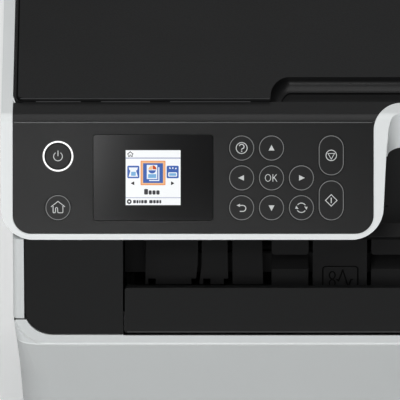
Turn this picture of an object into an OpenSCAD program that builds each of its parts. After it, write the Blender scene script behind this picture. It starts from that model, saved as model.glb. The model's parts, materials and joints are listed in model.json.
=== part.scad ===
// Desktop all-in-one inkjet printer with an ink tank, a flatbed scanner, a sloping control panel
// and a paper cassette. X runs along the front, Y towards the back and Z up. The origin is on the
// table, under the middle of the printer.

/* [Overall size] */
// Width over the rims of the scanner unit
width = 375; // [371:1:381]
// Depth from the toe of the control panel to the back
depth = 347; // [345:1:351]
// Height to the top of the lid
height = 302; // [302:1:304]

/* [Control panel] */
// Distance from key to key
key_pitch = 14; // [13.8:0.1:14.2]
// Diameter of a round key
key_d = 11.8; // [11:0.1:12]
// Length of the stop and start keys
long_key = 18.8; // [17:0.2:19]
// Width of the display window
window_w = 56.4; // [50:0.2:58]
// Height of the display window
window_h = 40.4; // [36:0.2:42]
// Side of the square screen
screen = 26; // [22:0.5:30]

/* [Lid] */
// Width of the finger notch in the front edge of the lid
notch_w = 122; // [90:1:150]
// Depth of the finger notch
notch_depth = 19.8; // [14:0.2:20]

/* [Paper] */
// Width of the widest sheet
sheet_w = 216; // [210:1:216]
// Width of the output bay
bay_w = 220; // [218:1:222]

/* [Walls] */
// Thickness of the outer casings
wall = 2.5; // [2:0.1:2.8]

/* [Hidden] */
$fn = 48;
eps = 0.01;
far = 400; // longer than anything a cut has to pass through

// Gaps
fit_gap = 0.3; // between parts that move past each other
seam = 0.6; // visible joint between two casings
running = 0.05; // radial clearance of a turning shaft

// The frame of the whole printer
half_w = width / 2;
front_y = -depth / 2;
back_y = depth / 2;
rim_z = height - 1.5; // top of the light rim around the lid
unit_z = 250; // underside of the scanner unit
body_top = unit_z - 0.6; // top of the lower body
body_x = half_w - 5.6; // side of the lower body
bezel_y = front_y + 1.5; // front of the lower body
seam_z = 205.8; // joint between the two body casings
seam_depth = 1.8; // the joint line is this deep
arris_z = 192; // lower edge of the front frame
frame_w = 5.1; // width of the light frame around the black fronts
arris_r = 17; // its round lower corners
ridge = 0.7; // the arris around the front stands this far proud of the frame
ridge_w = 0.8; // width of the chamfer that leads up to it
foot_h = 4;
foot_x = body_x - 14; // the base narrows towards the table
foot_y = bezel_y + 13;
foot_r = 14; // its upright corners at the front
knee_z = 172; // above this height the front and sides lean in more steeply
knee_x = body_x - 2.6;
knee_y = bezel_y + 4.6;
grip = [-40, 40, 122, 146]; // hand grips in the sides: y and z of the opening
back_r = 12; // upright corners at the back

// The sloping panel: a plane that rises from the toe and bends into the flat top
tilt = 60;
bend_r = 5;
panel_run = (rim_z - bend_r * (1 - cos(tilt)) - unit_z) / sin(tilt); // slope length up to the bend
wall_y = front_y + panel_run * cos(tilt) + bend_r * sin(tilt); // where the bend starts
tongue_top_x = -6.0; // right edge of the panel where it meets the top
tongue_lean = 2.75; // how far that edge moves left on its way down
side_rim = 5.5; // width of the light rim at the sides
toe_rim = 2.8; // and along the toe
well_front = wall_y + 9.1; // front wall of the well that the lid lies in
sweep_x = 0.3; // centre of the curve that carries the rim from the panel to the front
sweep_s = 51.3;
sweep_r = 13;
cove_r = 9; // vertical cove between the panel and the front wall
cove_x = 2.8;
band_z = 281.8; // lower edge of the light wall right of the panel
slab_z = 262; // underside of the scanner behind the panel
slab_y = wall_y + 4;
case_back = back_y - 5;
plan_r = 12; // upright corners of the scanner unit
ledge_z = 290.8; // glass and top frame lie around this height
ledge_top = ledge_z + 2.5;
floor_top = ledge_top + 2; // top of the frame under the lid
inlay = 0.3; // how far the black inlays lie below the rim
face_t = 2.5; // thickness of the panel face

// Key positions on the slope: x, and distance up from the toe
pad_x = -60.6;
pad_s = 29.05;
left_key_x = pad_x - 100.1;
row_s = [pad_s - key_pitch, pad_s, pad_s + key_pitch];
column_x = [pad_x - key_pitch, pad_x, pad_x + key_pitch];
power_s = 39.2;
home_s = 15.1;
long_x = pad_x + 2 * key_pitch;
stop_s = 39.6;
start_s = 18.5;
window_x = -116.1;
window_s = 29.15;
key_r = key_d / 2;
flange = 0.72; // how far the hidden flange of a key stands out
key_deep = 4.4; // back of the flange
board_deep = 9.2; // front of the board behind the keys
round_keys = [[left_key_x, power_s], [left_key_x, home_s],
    for (k = [[0, 2], [1, 2], [0, 1], [1, 1], [2, 1], [0, 0], [1, 0], [2, 0]]) [column_x[k[0]], row_s[k[1]]]];
long_keys = [[long_x, stop_s], [long_x, start_s]];

// Black fronts and the output bay
front_z = 197.6; // lower edge of the black fronts
shelf_z = front_z - fit_gap; // shelf behind them
lip_t = 0.6; // the frame is this thin in front of the flap
cover_r = 13.2;
cover_x = body_x - frame_w - fit_gap; // outer side of the black fronts
bay_left = -130.2;
bay_right = bay_left + bay_w + 0.6;
flap_top = 223;
fascia_y = wall_y + 0.7; // front of the recessed black wall
fascia_t = 2.5;
fascia_z = 233.5;
guide_y = wall_y + 0.5;
deck_z = 98; // floor between the cassette and the print works
deck_top = deck_z + 2.5;

// Print works
frame_x = 129.5; // inner side of the two end plates
plate_t = 3.5;
platen_z = 214.6;
feed = [-15, 208.8]; // y and z of the feed roller
feed_r = 6;
eject = [-112, 210.3];
eject_r = 4.5;
pickup = [105, 80];
pickup_r = 12;
gear_module = 1;
gear_teeth = 36;
pinion_teeth = 12;
gear_x = -149;
gear_t = 6;
mesh_gap = 0.35;
pinion_z = feed[1] - gear_module * (gear_teeth + pinion_teeth) / 2 - mesh_gap;
rail_y = -12;
rail_z = 228;
rail_top = 252;
belt_y = 2;
belt_z = 239;
belt_w = 6;
pulley_r = 6;
pulley_x = 158;
carriage_x = 75;
carriage_w = 52;

// Tank
tank_left = 96;
tank_right = 170;
tank_top = 238;
tank_y = [bezel_y + 2.8, wall_y - 1.6];
cap_x = 133;
cap_y = -156;
cover_axis = [wall_y - 3.6, 246.4];
right_top = 245;
pane = [112, 158, 205, 232]; // ink window: sides, bottom and top

// Output tray and flap
flap_axis = [bezel_y + 2, 200.2];
flap_r = 2;
hinge_ears = [-115, 70];
ear_w = 5;

// Lid
lid_x = half_w - 7.8;
lid_front = wall_y + 11.3;
lid_back = 158.5;
lid_low = floor_top + 0.4;
lid_skin = 2.4;
lid_axis = [155, 298.8];
lid_hinge_x = 120;

// Scanner
unit_axis = [165, 252.5];
unit_hinge_x = 140;
glass_x = 152;
glass_y = [-103, 117];

// Cassette
cassette_x = 147.7;
cassette_z = [9.9, 91.7];
cassette_back = 152;
tray_top = 55;
cassette_face = -152;
guide_x = sheet_w / 2 + 0.5;

// ---------------------------------------------------------------- helpers

module box(x0, x1, y0, y1, z0, z1) {
    translate([x0, y0, z0]) cube([x1 - x0, y1 - y0, z1 - z0]);
}

module rod_x(x0, x1, y, z, r) {
    translate([x0, y, z]) rotate([0, 90, 0]) cylinder(h = x1 - x0, r = r);
}

module rod_y(x, y0, y1, z, r) {
    translate([x, y1, z]) rotate([90, 0, 0]) cylinder(h = y1 - y0, r = r);
}

module rod_z(x, y, z0, z1, r) {
    translate([x, y, z0]) cylinder(h = z1 - z0, r = r);
}

// Outline in x and z, pushed from y0 to y1
module along_y(y0, y1) {
    translate([0, y1, 0]) rotate([90, 0, 0]) linear_extrude(y1 - y0) children();
}

// Outline in y and z, pushed from x0 to x1
module along_x(x0, x1) {
    translate([x0, 0, 0]) rotate([90, 0, 90]) linear_extrude(x1 - x0) children();
}

// Outline on the sloping panel, from one height above it to another
module on_panel(low, high) {
    translate([0, front_y, unit_z]) rotate([tilt, 0, 0]) translate([0, 0, low])
        linear_extrude(high - low) children();
}

// Rectangle between two corners, with round corners
module rounded(x0, x1, y0, y1, r) {
    translate([x0 + r, y0]) square([x1 - x0 - 2 * r, y1 - y0]);
    translate([x0, y0 + r]) square([x1 - x0, y1 - y0 - 2 * r]);
    for (x = [x0 + r, x1 - r], y = [y0 + r, y1 - r]) translate([x, y]) circle(r);
}

// Rectangle whose two lower corners are round
module round_bottom(x0, x1, y0, y1, r) {
    translate([x0 + r, y0]) square([x1 - x0 - 2 * r, y1 - y0]);
    translate([x0, y0 + r]) square([x1 - x0, y1 - y0 - r]);
    for (x = [x0 + r, x1 - r]) translate([x, y0 + r]) circle(r);
}

module mirrored() {
    children();
    mirror([1, 0, 0]) children();
}

// y of the plane that lies d behind the sloping panel, at height z
function slope_y(z, d = 0) = front_y + d * sin(tilt) + (z - unit_z + d * cos(tilt)) / tan(tilt);

// ---------------------------------------------------------------- body casings

// Four upright rods at the corners of the base
module base_ring(x, y, z, inset) {
    for (side = [-1, 1]) {
        rod_z(side * (x - foot_r), y + foot_r, z, z + 1, foot_r - inset, $fn = 32);
        rod_z(side * (x - back_r), back_y - back_r, z, z + 1, back_r - inset, $fn = 32);
    }
}

// Outside of the base: a plumb back, and a front and sides that lean in towards the table,
// steeply just below the front frame and less so below the knee
module base_form(inset) {
    front = bezel_y - ridge + inset * (wall + ridge) / wall;
    z = arris_z + arris_r;
    hull() {
        for (side = [-1, 1]) {
            rod_y(side * (body_x - arris_r), front, front + 1, z, arris_r - inset, $fn = 32);
            rod_z(side * (body_x - back_r), back_y - back_r, z, z + 3, back_r - inset, $fn = 32);
        }
        base_ring(knee_x, knee_y, knee_z, inset);
    }
    hull() {
        base_ring(knee_x, knee_y, knee_z, inset);
        base_ring(foot_x, foot_y, foot_h + inset, inset);
    }
}

module frame_outline(inset) {
    round_bottom(-body_x + inset, body_x - inset, arris_z + inset, 260, arris_r - inset, $fn = 32);
}

// Slot below the flap, which keeps the edge of the frame thin and is open to the inside
module flap_slot() {
    box(bay_left, bay_right, bezel_y + lip_t, bezel_y + 4.4, arris_z + 0.2, 260);
    box(bay_left, bay_right, -far, bezel_y + 4.4, shelf_z - fit_gap, 260);
    box(bay_left, bay_right, bezel_y + wall + 0.9, bezel_y + 8, arris_z - 4, 260);
}

// What stands inside the base shell and is moulded in one piece with it
module base_inside() {
    // hand grip pockets
    mirrored() box(164, far, grip[0] - 2, grip[1] + 2, grip[2] - 2, grip[3] + 2);
    // deck over the cassette, with the brackets of the pickup roller below it
    difference() {
        box(-far, far, -150, far, deck_z, deck_top);
        box(-116, 116, 145, far, 0, far);
    }
    for (x = [-28, 24]) difference() {
        box(x, x + 4, pickup[0] - 8, pickup[0] + 8, pickup[1] - 8, deck_top);
        rod_x(x - 1, x + 5, pickup[0], pickup[1], 3 + running);
    }
    // shelf behind the front frame, which carries the tank and the output tray
    box(-far, far, -far, -150, shelf_z - 2.5, shelf_z);
    box(-far, far, -far, bezel_y + 7, arris_z - 2.3, shelf_z);
    // runners of the cassette
    mirrored() box(118, 126, -150, 150, 0, 9.7);
}

module base_shell() {
    color([0.78, 0.78, 0.78]) difference() {
        base_form(0);
        difference() {
            base_form(wall);
            base_inside();
        }
        box(-far, far, -far, far, seam_z, far);
        // flat face of the front frame, which flares out to the arris around it
        hull() {
            along_y(bezel_y - eps, bezel_y) frame_outline(ridge_w);
            along_y(-far, bezel_y - ridge_w) frame_outline(0);
        }
        // opening for the black fronts and the flap
        along_y(-far, bezel_y + 12)
            round_bottom(-cover_x - fit_gap, cover_x + fit_gap, shelf_z, 260, cover_r + fit_gap);
        flap_slot();
        // cassette bay
        box(-cassette_x - seam, cassette_x + seam, -far, -140, cassette_z[0] - seam, cassette_z[1] + seam);
        // rear cover, mains inlet and data socket
        box(-115.6, 115.6, 160, far, 71.4, 188.6);
        box(141.4, 166.6, 160, far, 107.4, 127.6);
        box(-172.4, -157.6, 160, far, 119.4, 133.6);
        // hand grips
        mirrored() box(166, far, grip[0], grip[1], grip[2], grip[3]);
        // screw holes with countersunk seats in the back
        for (x = [-150, 150]) {
            rod_y(x, 160, far, 196, 1.7);
            rod_y(x, back_y - 1.2, far, 196, 3.5);
        }
    }
}

// Plan of the body: sharp at the front, round at the back
module body_plan(inset) {
    rounded(-body_x + inset, body_x - inset, bezel_y + inset, back_y - 40, 2);
    rounded(-body_x + inset, body_x - inset, bezel_y + 40, back_y - inset, back_r - inset);
}

module upper_body_shell() {
    color([0.8, 0.8, 0.8]) difference() {
        union() {
            translate([0, 0, seam_z + seam]) linear_extrude(body_top - seam_z - seam) body_plan(0);
            translate([0, 0, seam_z]) linear_extrude(seam + eps) body_plan(seam_depth);
        }
        translate([0, 0, 100]) linear_extrude(far)
            rounded(-body_x + wall, body_x - wall, bezel_y + 20, back_y - wall, back_r - wall);
        box(-cover_x - fit_gap, cover_x + fit_gap, -far, bezel_y + 50, 100, far);
        mirrored() box(0, body_x - wall, bezel_y + 10, bezel_y + 50, 100, far);
        // room for the hinge line of the scanner unit
        rod_x(-body_x - 1, body_x + 1, unit_axis[0], unit_axis[1], 5.6);
        for (x = [-168, 168]) {
            rod_y(x, 150, far, 228, 1.7);
            rod_y(x, back_y - 1.2, far, 228, 3.5);
        }
        // ventilation slots in the left side
        for (k = [0 : 8]) box(-far, -160, 60 + 7 * k, 63 + 7 * k, 216, 238);
    }
}

// Black cover with one round lower corner; the outline reaches past the bay side and is cut there
module cover_outline(inset = 0) {
    round_bottom(-cover_x + inset, cover_x - inset, front_z + inset, 300, cover_r - inset);
}

module front_left_cover() {
    color([0.14, 0.14, 0.14]) difference() {
        intersection() {
            along_y(bezel_y, wall_y) cover_outline();
            box(-far, bay_left, -far, far, 0, body_top - 0.3);
        }
        intersection() {
            along_y(bezel_y + wall, far) cover_outline(wall);
            box(-far, bay_left - wall, -far, far, 0, body_top - 0.3 - wall);
        }
        box(-far, bay_left - 6, -158, far, 0, body_top - 0.3 - wall);
    }
}

module front_right_cover() {
    ear_y = cover_axis[0];
    ear_z = cover_axis[1];
    color([0.14, 0.14, 0.14]) {
        difference() {
            intersection() {
                along_y(bezel_y, tank_y[1] + 0.6) cover_outline();
                box(bay_right, far, -far, far, 0, right_top);
            }
            intersection() {
                along_y(bezel_y + wall, far) cover_outline(wall);
                box(bay_right + wall - 0.3, far, -far, far, 0, far);
            }
            along_y(-far, bezel_y + 4) rounded(pane[0], pane[1], pane[2], pane[3], 3);
            // room under the round corner for the tank
            box(tank_left - 0.5, tank_right + 0.5, bezel_y + wall, far, 0, 203);
        }
        for (x = [bay_right, cover_x - 2.2]) difference() {
            union() {
                box(x, x + 2.2, ear_y - 2.6, ear_y + 2, right_top - 6, ear_z);
                rod_x(x, x + 2.2, ear_y, ear_z, 2);
            }
            rod_x(x - 1, x + 3, ear_y, ear_z, 1 + running);
        }
    }
}

module ink_window() {
    gap = 0.05;
    color([0.75, 0.8, 0.82, 0.5]) along_y(bezel_y + 0.3, bezel_y + wall)
        rounded(pane[0] + gap, pane[1] - gap, pane[2] + gap, pane[3] - gap, 3 - gap);
}

module front_fascia() {
    left = tongue_top_x + 0.3;
    right = half_w - 14;
    low_right = 88;
    color([0.12, 0.12, 0.12]) {
        along_y(fascia_y, fascia_y + fascia_t) polygon([[left - 1.9, right_top + 4.5], [right, right_top + 4.5],
            [right, band_z - 0.5], [left - 0.5, band_z - 0.5]]);
        box(bay_left + 0.6, low_right, fascia_y, fascia_y + fascia_t, fascia_z, body_top - 0.3);
        box(left, low_right, fascia_y, fascia_y + fascia_t, body_top - 0.3 - eps, right_top + 4.5 + eps);
        // lip that leads the eye down to the paper exit
        along_x(bay_left + 0.6, low_right) polygon([[fascia_y, fascia_z + 6.5], [fascia_y - 4.2, fascia_z + 1.6],
            [fascia_y - 4.2, fascia_z], [fascia_y + 1, fascia_z], [fascia_y + 1, fascia_z + 6.5]]);
        // feet that stand on the end plates of the print works
        box(-126, -118, fascia_y + 1, fascia_y + 20, fascia_z, fascia_z + 2.5);
        box(74, 82, fascia_y + 1, fascia_y + 20, fascia_z, fascia_z + 2.5);
    }
}

// ---------------------------------------------------------------- paper exit

module output_guide() {
    back = guide_y + 20;
    blocks = [[-60.3, -42.9], [-13.3, 88]];
    color([0.1, 0.1, 0.1]) difference() {
        union() {
            box(bay_left + 0.6, 88, back - 2, back, 203, fascia_z);
            for (b = blocks) {
                along_y(guide_y, back - 1) rounded(b[0], b[1], 223, fascia_z - 0.3, 1.5);
                box(b[0], b[1], guide_y + 3, back - 1, 203, 213.4);
            }
            // three upright guide plates at the left
            along_y(guide_y + 4, guide_y + 6.5) guide_plates();
            for (x = [-112, -87, -71]) box(x, x + 2.5, guide_y + 5, back - 1, 204, 232);
            // rib behind the jam panel, and the lug that meets the print works
            box(-30, -26, guide_y + 2.6, back - 1, 203, 232);
            box(bay_left + 0.6, bay_left + 4, back - 1, -119, 206, 212);
        }
        // paper exit
        box(-62, 90, -far, back + 1, 213.4, 223);
        box(-108, -60, back - 3, back + 1, 213.4, 223);
    }
}

// The plates share a lower edge with small notches; the gaps between them lean a little
module guide_plates() {
    difference() {
        polygon([[-120, 204.5], [-119.5, 232], [-65, 232], [-64.2, 204.5]]);
        polygon([[-96.6, 200], [-95.2, 216], [-94.8, 240], [-93.1, 240], [-93.4, 214], [-95, 200]]);
        polygon([[-80.4, 200], [-81, 214], [-81.2, 240], [-78.9, 240], [-78.7, 200]]);
        for (x = [-118.5, -98.2, -92.6, -82.8]) translate([x, 200]) square([3.4, 7.6]);
    }
}

module jam_panel() {
    x = [-40.9, -15.3];
    border = [-36.5, -19.2, 217.1]; // sides and top of the pictogram's frame
    line = 0.73;
    eight_x = -31.65;
    color([0.12, 0.12, 0.12]) difference() {
        along_y(guide_y - 0.4, guide_y + 2.6) rounded(x[0], x[1], 203, fascia_z - 0.3, 0.8);
        // sunk pictogram of a sheet that creases on its way past a roller, in a rounded frame
        along_y(-far, guide_y) {
            difference() {
                rounded(border[0], border[1], 204.2, border[2], 2);
                rounded(border[0] + line, border[1] - line, 204.2 + line, border[2] - line, 2 - line);
            }
            for (z = [207.5, 211.9]) translate([eight_x, z]) difference() {
                scale([1.73, 2.35]) circle(1);
                scale([1.73 - line, 2.35 - line]) circle(1);
            }
            crease([[-29.6, 209.6], [-28.6, 208.9], [-26.7, 214.7], [-24.1, 205.5], [-22.7, 209.6], [-21.9, 209.6]]);
        }
    }
}

// Zigzag line of even thickness through a list of points
module crease(line) {
    t = 0.8;
    for (k = [0 : len(line) - 2]) {
        a = line[k];
        b = line[k + 1];
        translate(a) rotate(atan2(b[1] - a[1], b[0] - a[0]))
            translate([-t / 2, -t / 2]) square([norm(b - a) + t, t]);
    }
}

// ---------------------------------------------------------------- print works

module print_frame() {
    color([0.16, 0.16, 0.17]) {
        mirrored() difference() {
            box(frame_x, frame_x + plate_t, -119, 12, deck_top, rail_z);
            rod_x(frame_x - 1, frame_x + 5, feed[0], feed[1], 4 + running);
            rod_x(frame_x - 1, frame_x + 5, eject[0], eject[1], 3 + running);
            // pinion shaft
            rod_x(frame_x - 1, frame_x + 5, feed[0], pinion_z, 3);
            box(frame_x - 1, frame_x + 5, -95, -40, deck_top + 20, 160);
        }
        // platen with ribs along the paper path
        box(-frame_x - 0.5, frame_x + 0.5, -100, -30, 206.5, 209);
        for (k = [-7 : 7]) box(k * 15 - 0.8, k * 15 + 0.8, -100, -30, 208.5, platen_z);
        // cross bar between the end plates
        box(-frame_x - 0.5, frame_x + 0.5, 4, 10, 150, 165);
    }
}

module feed_motor() {
    color([0.55, 0.55, 0.56]) {
        rod_x(-frame_x, -frame_x + 30, feed[0], pinion_z, 14);
        rod_x(-frame_x - plate_t - 1, -frame_x + eps, feed[0], pinion_z, 2.6);
        rod_x(-152, -frame_x, feed[0], pinion_z, 1);
    }
}

// Spur gear along X from x0, with straight-sided teeth
module spur(teeth, x0, thick, bore, phase) {
    pitch_r = gear_module * teeth / 2;
    root = pitch_r - 1.25 * gear_module;
    tip = pitch_r + 0.9 * gear_module;
    half_root = 0.95 * gear_module;
    half_tip = 0.32 * gear_module;
    translate([x0, 0, 0]) rotate([90, 0, 90]) difference() {
        linear_extrude(thick) union() {
            circle(root);
            for (k = [0 : teeth - 1]) rotate(phase + 360 / teeth * k)
                polygon([[root - 0.3, -half_root], [tip, -half_tip], [tip, half_tip], [root - 0.3, half_root]]);
        }
        translate([0, 0, -1]) cylinder(h = thick + 2, r = bore);
    }
}

module feed_gear() {
    color([0.85, 0.85, 0.82]) translate([0, feed[0], feed[1]]) difference() {
        spur(gear_teeth, gear_x, gear_t, 4, -90);
        for (a = [30 : 60 : 330]) rotate([a, 0, 0]) rod_x(gear_x - 1, gear_x + gear_t + 1, 0, 10.5, 3.2);
    }
}

module motor_pinion() {
    color([0.72, 0.6, 0.35]) translate([0, feed[0], pinion_z])
        spur(pinion_teeth, gear_x - 1, gear_t + 2, 1 + running, 90 + 180 / pinion_teeth);
}

module feed_roller() {
    color([0.3, 0.3, 0.32]) {
        rod_x(gear_x, frame_x + plate_t + 2, feed[0], feed[1], 4);
        rod_x(-118, 118, feed[0], feed[1], feed_r);
    }
}

module eject_roller() {
    color([0.2, 0.2, 0.2]) {
        rod_x(-frame_x - plate_t - 1, frame_x + plate_t + 1, eject[0], eject[1], 3);
        for (k = [-4 : 4]) rod_x(k * 25 - 5, k * 25 + 5, eject[0], eject[1], eject_r);
    }
}

module pickup_roller() {
    color([0.2, 0.2, 0.2]) {
        rod_x(-32, 32, pickup[0], pickup[1], 3);
        rod_x(-20, 20, pickup[0], pickup[1], pickup_r);
    }
}

module carriage_rail() {
    color([0.62, 0.63, 0.65]) difference() {
        union() {
            box(-172, 172, rail_y, rail_y + 2, rail_z, rail_top);
            box(-172, 172, rail_y, rail_y + 26, rail_z, rail_z + 2);
            mirrored() box(168, 178, rail_y, rail_y + 26, rail_z, rail_z + 2);
            rod_z(-pulley_x, belt_y, rail_z, belt_z + belt_w + 3, 1.5);
        }
        rod_z(pulley_x, belt_y, rail_z - 1, rail_z + 3, 2.2);
    }
}

module carriage_motor() {
    color([0.55, 0.55, 0.56]) {
        rod_z(pulley_x, belt_y, 196, rail_z, 12);
        rod_z(pulley_x, belt_y, 190, belt_z + belt_w + 3, 1.5);
    }
}

// Outline of a belt loop of a given radius, seen from above
module belt_loop(r) {
    translate([-pulley_x, belt_y - r]) square([2 * pulley_x, 2 * r]);
    for (x = [-pulley_x, pulley_x]) translate([x, belt_y]) circle(r);
}

module drive_belt() {
    color([0.1, 0.1, 0.1]) translate([0, 0, belt_z]) linear_extrude(belt_w) difference() {
        belt_loop(pulley_r + fit_gap + 1);
        belt_loop(pulley_r + fit_gap);
    }
}

module pulley(x) {
    difference() {
        union() {
            rod_z(x, belt_y, belt_z - 1.4, belt_z + belt_w + 1.4, pulley_r);
            rod_z(x, belt_y, belt_z - 1.6, belt_z - 0.4, pulley_r + 2);
            rod_z(x, belt_y, belt_z + belt_w + 0.4, belt_z + belt_w + 1.6, pulley_r + 2);
        }
        rod_z(x, belt_y, belt_z - 3, belt_z + belt_w + 3, 1.5 + running);
    }
}

module motor_pulley() {
    color([0.75, 0.62, 0.35]) pulley(pulley_x);
}

module idler_pulley() {
    color([0.85, 0.85, 0.82]) pulley(-pulley_x);
}

module carriage() {
    x1 = carriage_x + carriage_w;
    color([0.13, 0.13, 0.13]) {
        difference() {
            box(carriage_x, x1, -78, rail_y - 0.4, 220, 256);
            box(carriage_x + 2, x1 - 2, -76, rail_y - 4, 222, 253.5);
            box(carriage_x + 8, x1 - 8, -70, rail_y - 10, 210, 230);
        }
        // hook over the rail, with the belt clamp
        box(carriage_x, x1, rail_y - 0.5, rail_y + 6, rail_top + 0.4, 256);
        box(carriage_x + 12, x1 - 12, rail_y + 2.4, rail_y + 6, belt_z + 1, rail_top + 0.5);
    }
}

module print_head() {
    color([0.6, 0.6, 0.62]) {
        box(carriage_x + 8, carriage_x + carriage_w - 8, -70, rail_y - 10, 217.5, 232);
        box(carriage_x + 14, carriage_x + carriage_w - 14, -62, rail_y - 18, 216.5, 217.6);
    }
}

// ---------------------------------------------------------------- tank

module ink_tank() {
    color([0.85, 0.87, 0.88, 0.6]) difference() {
        union() {
            box(tank_left, tank_right, tank_y[0], tank_y[1], shelf_z, tank_top);
            rod_z(cap_x, cap_y, tank_top - 1, tank_top + 2.4, 8);
        }
        box(tank_left + 2, tank_right - 2, tank_y[0] + 2, tank_y[1] - 2, front_z + 1.7, tank_top - 2);
        rod_z(cap_x, cap_y, tank_top - 4, tank_top + 4, 5 + running);
    }
}

module tank_cap() {
    color([0.1, 0.1, 0.1]) {
        rod_z(cap_x, cap_y, tank_top - 3, tank_top + 3, 5);
        difference() {
            rod_z(cap_x, cap_y, tank_top + 2.7, tank_top + 6.2, 10);
            for (a = [0 : 30 : 330]) translate([cap_x, cap_y, 0]) rotate(a)
                rod_z(10.6, 0, tank_top, tank_top + 10, 1.2);
        }
    }
}

module tank_cover() {
    y = cover_axis[0];
    z = cover_axis[1];
    inner = [bay_right + 2.5, cover_x - 2.5];
    color([0.14, 0.14, 0.14]) {
        translate([0, 0, right_top + 0.3]) linear_extrude(2.5) difference() {
            rounded(bay_right + 0.3, cover_x - 0.2, bezel_y + 0.2, y - 3, 2);
            translate([cap_x, bezel_y]) circle(9);
        }
        box(inner[0], inner[1], y - 5, y, right_top + 0.3, right_top + 2.8);
        rod_x(inner[0], inner[1], y, z, 1.8);
        rod_x(bay_right + 0.3, cover_x - 0.3, y, z, 1);
        // finger lip
        translate([cap_x - 9, bezel_y + 0.2, right_top + 0.3]) difference() {
            cube([18, 10.5, 1]);
            translate([9, -0.2, -1]) cylinder(h = 3, r = 7.5);
        }
    }
}

// ---------------------------------------------------------------- electrics and small parts

module main_board() {
    color([0.12, 0.35, 0.2]) {
        box(-171.6, -170, 48, 165, 108, 196);
        box(-170.1, -158, 155.5, back_y - 0.5, 120, 133);
        box(-170.1, -166, 75, 100, 140, 165);
        box(-170.1, -167, 110, 125, 150, 160);
        for (y = [60 : 12 : 84]) rod_x(-170.1, -160, y, 120, 4);
    }
}

module power_supply() {
    color([0.6, 0.61, 0.63]) difference() {
        box(50, 140, 56, 142, deck_top, 146);
        for (k = [0 : 6]) box(60 + 10 * k, 65 + 10 * k, 68, 130, 144.5, 150);
    }
}

module ac_inlet() {
    mid = [154, 117.5];
    color([0.08, 0.08, 0.08]) {
        difference() {
            box(142, 166, 150, back_y - 0.3, 108, 127);
            along_y(back_y - 12, far) {
                translate([mid[0] - 4.2, mid[1] - 4.3]) square([8.4, 8.6]);
                for (k = [-1, 1]) translate([mid[0] + 4.2 * k, mid[1]]) circle(4.3);
            }
        }
        for (k = [-1, 1]) rod_y(mid[0] + 4.2 * k, back_y - 13, back_y - 4, mid[1], 1.2);
    }
}

module scanner_hinges() {
    y = unit_axis[0];
    z = unit_axis[1];
    color([0.2, 0.2, 0.2]) for (x = [-unit_hinge_x, unit_hinge_x]) {
        box(x - 8, x + 8, 156, back_y - wall, 214, 246);
        box(x - 4, x + 4, y - 4, y + 4, 245, z);
        rod_x(x - 4, x + 4, y, z, 4);
        rod_x(x - 10.5, x + 10.5, y, z, 3);
    }
}

module rubber_feet() {
    color([0.2, 0.2, 0.2]) for (x = [-142, 142], y = [-132, 140]) rod_z(x, y, 0, foot_h, 8);
}

module screw(x, z) {
    rod_y(x, back_y - 12, back_y - 1.1, z, 1.6);
    difference() {
        rod_y(x, back_y - 1.2, back_y - 0.1, z, 3.2);
        box(x - 1.8, x + 1.8, back_y - 0.8, back_y, z - 0.35, z + 0.35);
        box(x - 0.35, x + 0.35, back_y - 0.8, back_y, z - 1.8, z + 1.8);
    }
}

module case_screws() {
    color([0.35, 0.35, 0.36]) {
        for (x = [-150, 150]) screw(x, 196);
        for (x = [-168, 168]) screw(x, 228);
    }
}

module rear_cover() {
    color([0.2, 0.2, 0.2]) {
        difference() {
            box(-115, 115, 146, back_y, 72, 188);
            box(-112, 112, 100, back_y - wall, 75, 185);
            // thumb grips
            mirrored() box(60, 90, back_y - 1.2, far, 120, 140);
        }
        for (k = [-4 : 4]) box(k * 24 - 1, k * 24 + 1, 146, back_y - 1, 74, 186);
        for (z = [84, 176]) box(-114, 114, 146, 152, z - 1, z + 1);
    }
}

// ---------------------------------------------------------------- cassette

module cassette_front() {
    color([0.78, 0.78, 0.78]) difference() {
        intersection() {
            base_form(0);
            box(-cassette_x, cassette_x, -far, cassette_face, cassette_z[0], cassette_z[1]);
        }
        // finger recess
        along_y(-far, cassette_face - 2.5) round_top(-38, 38, 0, 30, 8);
        // the panel is hollow behind
        box(-cassette_x + 4, cassette_x - 4, cassette_face - 4, far, 58, cassette_z[1] - 3);
    }
}

// Rectangle whose two upper corners are round
module round_top(x0, x1, y0, y1, r) {
    translate([x0 + r, y0]) square([x1 - x0 - 2 * r, y1 - y0]);
    translate([x0, y0]) square([x1 - x0, y1 - y0 - r]);
    for (x = [x0 + r, x1 - r]) translate([x, y1 - r]) circle(r);
}

module cassette_tray() {
    out = cassette_x - 2;
    color([0.2, 0.2, 0.2]) {
        difference() {
            box(-out, out, cassette_face, cassette_back, 10, tray_top);
            box(-out + wall, out - wall, cassette_face + wall, cassette_back - wall, 12.5, far);
            // cut-away in the back wall for the sheets
            box(-sheet_w / 2, sheet_w / 2, 140, far, 40, far);
        }
        // guide ribs for the edge guides
        for (y = [12, 52]) box(-out + wall, out - wall, y, y + 3, 12, 14);
    }
}

module edge_guide() {
    difference() {
        union() {
            box(guide_x, guide_x + 2, 0, 66, 14.5, 50);
            box(guide_x, guide_x + 22, 4, 62, 14.5, 17);
        }
        box(guide_x + 4, guide_x + 18, 24, 44, 0, far);
    }
    for (y = [4, 60]) translate([guide_x + 1.9, y, 14.5])
        rotate([90, 0, 0]) linear_extrude(2, center = true) polygon([[0, 0], [14, 0], [0, 30]]);
}

module edge_guide_right() {
    color([0.35, 0.35, 0.36]) edge_guide();
}

module edge_guide_left() {
    color([0.35, 0.35, 0.36]) mirror([1, 0, 0]) edge_guide();
}

module length_guide() {
    y = cassette_face + 4.5;
    color([0.35, 0.35, 0.36]) {
        box(-25, 25, y, y + 2.5, 14.5, 48);
        box(-12, 12, y, y + 36, 12.8, 15);
    }
}

// ---------------------------------------------------------------- scanner unit

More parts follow.
